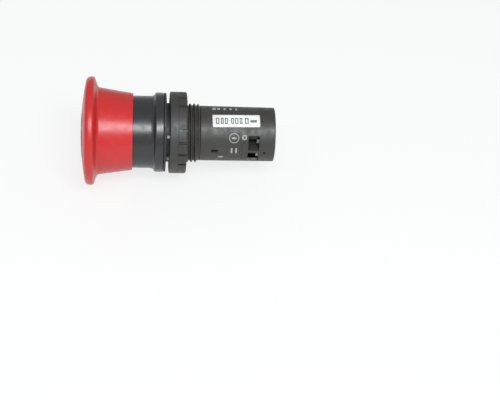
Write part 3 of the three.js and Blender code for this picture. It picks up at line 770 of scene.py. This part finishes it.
def build_shell():
    """The round wall behind the front face, as a grid of cells at level 1. A rib is level 2, an opening 0."""
    patches = housing_patches()
    degrees = sorted({round(d % 360, 4) for p in patches for d in p[1:3]})
    around = [d for d in lines_between(0, 360, 2.25, degrees) if d < 359.999]
    front, back = HOUSING_FRONT + 0.3, HOUSING.back - 0.35
    along = lines_between(front, back, 1.4, [y for p in patches for y in p[3:5]])

    def level(i, j):
        middle = (around[i] + (around[i + 1] if i + 1 < len(around) else 360)) / 2
        y = (along[j] + along[j + 1]) / 2
        for kind, start, end, y0, y1 in patches:
            if (middle - start) % 360 < (end - start) and y0 < y < y1:
                return 0 if kind == "open" else 2
        return 1

    bm = bmesh.new()
    made = {}

    def vertex(i, j, height):
        key = (i % len(around), j, height)
        if key not in made:
            y = along[j]
            radius = {
                0: HOUSING_WALL_BORE,
                1: housing_radius(y),
                2: housing_radius(y) + RIB_HEIGHT,
            }[height]
            made[key] = bm.verts.new(on_axis(radius, y, math.radians(90 - around[key[0]])))
        return made[key]

    count, rows = len(around), len(along) - 1
    levels = [[level(i, j) for j in range(rows)] for i in range(count)]
    for i in range(count):
        for j in range(rows):
            here = levels[i][j]
            if here:
                corners = [(i, j), (i + 1, j), (i + 1, j + 1), (i, j + 1)]
                bm.faces.new([vertex(a, b, here) for a, b in corners])
                bm.faces.new([vertex(a, b, 0) for a, b in reversed(corners)])
            beside = levels[(i + 1) % count][j]
            if beside != here:
                bm.faces.new([
                    vertex(i + 1, j, here), vertex(i + 1, j + 1, here),
                    vertex(i + 1, j + 1, beside), vertex(i + 1, j, beside),
                ])
            if j + 1 < rows and levels[i][j + 1] != here:
                after = levels[i][j + 1]
                bm.faces.new([
                    vertex(i, j + 1, here), vertex(i + 1, j + 1, here),
                    vertex(i + 1, j + 1, after), vertex(i, j + 1, after),
                ])
    close_shell(bm, vertex, count, rows)
    return from_bmesh("housing", bm)


def close_shell(bm, vertex, count, rows):
    """Adds the front wall with the neck, and the rim round the rear cover."""
    front_wall = HOUSING_FRONT + 1.5
    front_radius, back_radius = HOUSING_RADIUS
    front_path = [
        (front_radius - 0.02, HOUSING_FRONT + 0.14), (front_radius - 0.16, HOUSING_FRONT),
        (NECK_RADIUS, HOUSING_FRONT), (NECK_RADIUS, 3.3), (NECK_RADIUS - 0.3, 3), (NECK_RADIUS - 1.1, 3),
        (NECK_RADIUS - 1.1, HOUSING_FRONT), (3.2, HOUSING_FRONT), (3.2, front_wall),
        (HOUSING_WALL_BORE, front_wall),
    ]
    back = HOUSING.back
    back_path = [
        (back_radius - 0.03, back - 0.16), (back_radius - 0.1, back - 0.06), (back_radius - 0.22, back),
        (COVER_SEAT + 0.08, back), (COVER_SEAT, back - 0.08), (COVER_SEAT, COVER.front - 0.3),
        (HOUSING_WALL_BORE, COVER.front - 0.3),
    ]
    ends = [(0, front_path), (rows, back_path)]
    for j, path in ends:
        angles = [math.atan2(vertex(i, j, 1).co.x, vertex(i, j, 1).co.z) for i in range(count)]
        rings = [[vertex(i, j, 1) for i in range(count)]]
        rings += [[bm.verts.new(on_axis(r, y, a)) for a in angles] for r, y in path]
        rings += [[vertex(i, j, 0) for i in range(count)]]
        for low, high in zip(rings, rings[1:]):
            for i in range(count):
                n = (i + 1) % count
                bm.faces.new((low[i], low[n], high[n], high[i]))


def pin_cutter(angle):
    """A round bar through the wall at that angle from +X towards +Z."""
    outline = [(0, HOUSING_WALL_BORE - 1), (PIN_HOLE["radius"], HOUSING_WALL_BORE - 1)]
    outline += [(PIN_HOLE["radius"], HOUSING.radius + 1), (0, HOUSING.radius + 1)]
    cutter = revolved("pin_cutter", outline, 32)
    outward = Matrix.Rotation(math.radians(-90), 4, "Z")
    place = Matrix.Translation((0, PIN_HOLE["y"] * MM, 0)) @ Matrix.Rotation(math.radians(-angle), 4, "Y")
    cutter.data.transform(place @ outward)
    return cutter


def build_housing():
    cutters = [pin_cutter(PIN_HOLE["angle"] + side) for side in (0, 180)]
    shell = with_cuts(build_shell(), cutters)
    stand_for(bevelled(shell, 0.1, 3), "contact_housing")


# ---- Label and printed marks ---------------------------------------------------------------------

LABEL = {"angle": 68.7, "tilt": -1.3, "length": 17.4, "width": 5.05, "front": 16.85}


def turned_by(points, degrees):
    turn = Matrix.Rotation(math.radians(degrees), 2)
    return [tuple(turn @ Vector(p)) for p in points]


def wrapped(name, polygons, angle, y, base, thickness=0.02, tilt=0.0):
    """A thin patch on the housing, at an angle from +X towards +Z.

    Each polygon is convex, with points (across, along) in millimetres from the patch's middle.
    """
    bm = bmesh.new()
    for polygon in polygons:
        bm.faces.new([bm.verts.new((*p, 0)) for p in turned_by(polygon, tilt)])
    bmesh.ops.remove_doubles(bm, verts=bm.verts, dist=0.001)
    reach = max(abs(v.co.x) for v in bm.verts)
    cuts = math.ceil(2 * reach / 0.35)
    for k in range(1, cuts):
        across = -reach + 2 * reach * k / cuts
        everything = bm.verts[:] + bm.edges[:] + bm.faces[:]
        bmesh.ops.bisect_plane(bm, geom=everything, plane_co=(across, 0, 0), plane_no=(1, 0, 0))
    grown = bmesh.ops.extrude_face_region(bm, geom=bm.faces[:], use_keep_orig=True)
    for v in grown["geom"]:
        if isinstance(v, bmesh.types.BMVert):
            v.co.z = thickness
    for v in bm.verts:
        across, along, height = v.co
        radius = housing_radius(y + along)
        turn = math.radians(90 - angle) - across / radius
        v.co = on_axis(radius + base + height, y + along, turn)
    return from_bmesh(name, bm, merge=0.0005)


def bar(across, along, width, length):
    """A rectangle's corners round its middle (across, along)."""
    w, h = width / 2, length / 2
    return [(across + w * x, along + h * y) for x, y in ((-1, -1), (1, -1), (1, 1), (-1, 1))]


def ring_polygons(outer, inner):
    """A flat ring, as a row of four-sided polygons."""
    sides = 40
    points = [Vector((math.cos(TURN * k / sides), math.sin(TURN * k / sides))) for k in range(sides + 1)]
    return [[a * outer, b * outer, b * inner, a * inner] for a, b in zip(points, points[1:])]


def with_round_corners(width, length, radius):
    """A rectangle's outline with rounded corners."""
    w, h = width / 2 - radius, length / 2 - radius
    points = []
    for k, (x, y) in enumerate([(w, h), (-w, h), (-w, -h), (w, -h)]):
        for step in range(FILLET_STEPS + 1):
            a = math.radians(90 * k + 90 * step / FILLET_STEPS)
            points.append((x + radius * math.cos(a), y + radius * math.sin(a)))
    return points


def hollow_block(across, along, width, length, stroke):
    """A block's four strokes."""
    side, end = (width - stroke) / 2, (length - stroke) / 2
    return [
        bar(across - side, along, stroke, length), bar(across + side, along, stroke, length),
        bar(across, along - end, width, stroke), bar(across, along + end, width, stroke),
    ]


def build_label():
    """A blank label, with plain hollow blocks and a dash where a maker would print."""
    middle = LABEL["front"] + LABEL["length"] / 2
    where = {"angle": LABEL["angle"], "y": middle, "tilt": LABEL["tilt"]}
    plate = [with_round_corners(LABEL["width"], LABEL["length"], 0.35)]
    stand_for(wrapped("label", plate, base=0.02, thickness=0.1, **where), "blank_label")
    blocks = [(-6.9, 1.3), (-5.2, 1.1), (-3.7, 1.2), (-1.4, 1.1), (0.1, 1.3), (1.7, 1.1), (3.8, 1.4)]
    strokes = [bar(-0.1, -2.5, 0.4, 0.6), bar(-0.3, 6.3, 1.0, 2.4)]
    for along, length in blocks:
        strokes += hollow_block(-0.1, along, 2.5, length, 0.42)
    blocks_on_label = wrapped("label_bars", strokes, base=0.12, thickness=0.015, **where)
    add_to(blocks_on_label, "blank_label", "grey_ink")


SIDE_MARKS = [(-4.3, 1.4), (-2.6, 1.1), (-0.4, 0.8), (1.8, 0.8), (3.9, 0.7)]  # (along, length)


def build_marks():
    """Small white marks printed on the housing: a ring with a bar in it, and plain strokes."""
    spots = [
        ("ring_mark", ring_polygons(1.85, 1.58) + [bar(0, 0, 0.75, 1.7)], 31, 24.8),
        ("block_mark", hollow_block(0, 0, 1.9, 1.7, 0.5), 33, 28.6),
        ("strokes", [bar(0, -0.83, 2.4, 0.65), bar(0, 0.83, 2.4, 0.65)], 1.8, 24.9),
        ("dash", [bar(0, 0, 0.9, 1.9)], -17.6, 20.2),
        ("side_marks", [bar(0, along, 1.6, length) for along, length in SIDE_MARKS], 104, 21.8),
    ]
    for name, polygons, angle, y in spots:
        mark = wrapped(name, polygons, angle, y, base=0.003)
        add_to(mark, "contact_housing", "white_ink")


# ---- Springs, screws, clamps and cover -----------------------------------------------------------


def coil(name, radius, wire, front, back, turns, centre=(0, 0), closed=0.8):
    """A smooth spring whose end coils lie flat. The wire's ends are capped."""
    steps = round(turns * 36)
    sides = 12
    low, high = front + wire, back - wire
    bm = bmesh.new()
    rings = []
    for k in range(steps + 1):
        t = k / steps
        flat = closed / turns
        share = min(1, max(0, (t - flat) / (1 - 2 * flat)))
        smooth = share + (share * share * (3 - 2 * share) - share) * 0.35
        turn = t * turns * TURN
        y = low + (high - low) * smooth
        middle = on_axis(radius, y, turn) + Vector((centre[0], 0, centre[1]))
        out = on_axis(1, 0, turn)
        ring = []
        for s in range(sides):
            a = TURN * s / sides
            spoke = out * wire * math.cos(a) + Vector((0, wire * math.sin(a), 0))
            ring.append(bm.verts.new(middle + spoke))
        rings.append(ring)
    for near, far in zip(rings, rings[1:]):
        for s in range(sides):
            n = (s + 1) % sides
            bm.faces.new((near[s], near[n], far[n], far[s]))
    bm.faces.new(rings[0])
    bm.faces.new(rings[-1])
    return from_bmesh(name, bm)


def build_springs():
    """The return spring is the one that shortens when the head is pressed."""
    low, high = box_mm("return_spring")
    spring = coil("coil_return", 1.5, 0.3, low.y, high.y, 6.5)
    stand_for(spring, "return_spring")
    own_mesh(spring)
    low, high = box_mm("twist_spring")
    stand_for(coil("coil_twist", 6.6, 0.4, low.y, high.y, 3.6, closed=0.2), "twist_spring")
    for i in (1, 2):
        node = f"contact_spring_{i}"
        low, high = box_mm(node)
        middle = (low + high) / 2
        place = (middle.x, middle.z)
        stand_for(coil(f"coil_contact_{i}", 0.85, 0.2, low.y, high.y, 3.6, place, closed=0.4), node)


SCREW_PITCH = 0.5


def screw_thread(name, centre, radius, front, back):
    """A fine ridge wound on a screw's shank."""
    per_turn = 24
    steps = int((back - front) / SCREW_PITCH * per_turn)
    bm = bmesh.new()
    rows = []
    for k in range(steps + 1):
        turn = TURN * k / per_turn
        y = front + SCREW_PITCH * k / per_turn
        fade = min(1, k / 12, (steps - k) / 12)
        root, crest = radius - 0.05, radius + 0.16 * fade
        section = [(root, -0.2), (crest, -0.03), (crest, 0.03), (root, 0.2)]
        points = [on_axis(r, y + dy, turn) + Vector((centre.x, 0, centre.z)) for r, dy in section]
        rows.append([bm.verts.new(p) for p in points])
    for near, far in zip(rows, rows[1:]):
        for s in range(4):
            n = (s + 1) % 4
            bm.faces.new((near[s], near[n], far[n], far[s]))
    bm.faces.new(rows[0])
    bm.faces.new(rows[-1])
    return from_bmesh(name, bm)


def build_terminals():
    """Threads on the terminal screws, and ridges that grip the wire on the clamps."""
    for i in range(1, 5):
        screw_low, screw_high = box_mm(f"terminal_screw_{i}")
        clamp_low, clamp_high = box_mm(f"terminal_clamp_{i}")
        centre = (screw_low + screw_high) / 2
        thread = screw_thread(f"screw_thread_{i}", centre, 1.4, screw_low.y + 0.15, clamp_high.y + 0.1)
        add_to(thread, f"terminal_screw_{i}", "black_steel")
        side_x, side_z = math.copysign(1, centre.x), math.copysign(1, centre.z)
        z_ends = sorted([side_z * 1.2, side_z * 1.55])
        for k in range(5):
            x = side_x * (3.4 + 0.75 * k)
            low = (x - 0.12, clamp_low.y - 0.1, z_ends[0])
            high = (x + 0.12, clamp_low.y + 0.15, z_ends[1])
            add_to(round_box(f"clamp_ridge_{i}_{k}", low, high, 0.05), f"terminal_clamp_{i}")
        add_clamp_lip(i, side_x, side_z, clamp_low.y, clamp_high.y)


def add_clamp_lip(i, side_x, side_z, front, back):
    """The clamp's outer edge, bent towards the wire. It shows through the wire entry."""
    z_ends = sorted([side_z * 2.3, side_z * 3.9])
    for name, inner, outer, y_ends in (
        (f"clamp_arm_{i}", 6.6, 7.85, (front + 0.05, back - 0.05)),
        (f"clamp_lip_{i}", 7.45, 7.85, (front - 1.0, front + 0.4)),
    ):
        x_ends = sorted([side_x * inner, side_x * outer])
        low, high = zip(x_ends, y_ends, z_ends)
        add_to(round_box(name, low, high, 0.1), f"terminal_clamp_{i}", "dull_steel")


def build_cover():
    """Raised rings round the screwdriver holes and a small dot where the moulding was gated."""
    back = COVER.back
    for i in range(1, 5):
        low, high = box_mm(f"terminal_screw_{i}")
        centre = (low + high) / 2
        section = rounded([
            (2.02, back - 0.2, 0.02),
            (2.4, back - 0.2, 0.02),
            (2.4, back + 0.12, 0.08),
            (2.02, back + 0.12, 0.06),
        ])
        ring = revolved(f"cover_ring_{i}", section, SMALL)
        ring.data.transform(Matrix.Translation(Vector((centre.x, 0, centre.z)) * MM))
        add_to(ring, "rear_cover")
    gate = [(0, back + 0.1), (0.5, back + 0.1), (0.62, back + 0.02), (0.62, back - 0.2), (0, back - 0.2)]
    add_to(revolved("cover_gate", gate, 40), "rear_cover")


INNER_EDGES = {
    "cap_spindle": 0.12,
    "cam_sleeve": 0.1,
    "spindle_clip": 0.06,
    "drive_pin": 0.08,
    "spindle_guide": 0.12,
    "stem_seal": 0.15,
    "latch_clip": 0.03,
    "plunger": 0.12,
    "contact_carrier": 0.12,
    "contact_bridge_1": 0.08,
    "contact_bridge_2": 0.08,
    "terminal_holder": 0.08,
    "rear_cover": 0.12,
}


def round_inner_edges():
    """The pieces inside keep their CAD shape, with their sharp edges rounded."""
    for name, width in INNER_EDGES.items():
        bevelled(frame["nodes"][name], width, 2)
    for i in range(1, 5):
        bevelled(frame["nodes"][f"fixed_contact_{i}"], 0.07, 2)
        bevelled(frame["nodes"][f"terminal_clamp_{i}"], 0.09, 2)
        bevelled(frame["nodes"][f"terminal_screw_{i}"], 0.1, 3)


FINISHES = {"grip_washer": "washer_steel"} | {f"terminal_screw_{i}": "black_steel" for i in range(1, 5)}


def dress_cad_pieces():
    """Gives a material to every CAD piece that is still shown."""
    for name, node in frame["nodes"].items():
        if not node.hide_render:
            dress(node, SLOTS[name], FINISHES.get(name))


make_camera()
make_set()
build_head()
build_barrel()
build_nut()
build_housing()
build_label()
build_marks()
build_springs()
build_terminals()
build_cover()
round_inner_edges()
dress_cad_pieces()
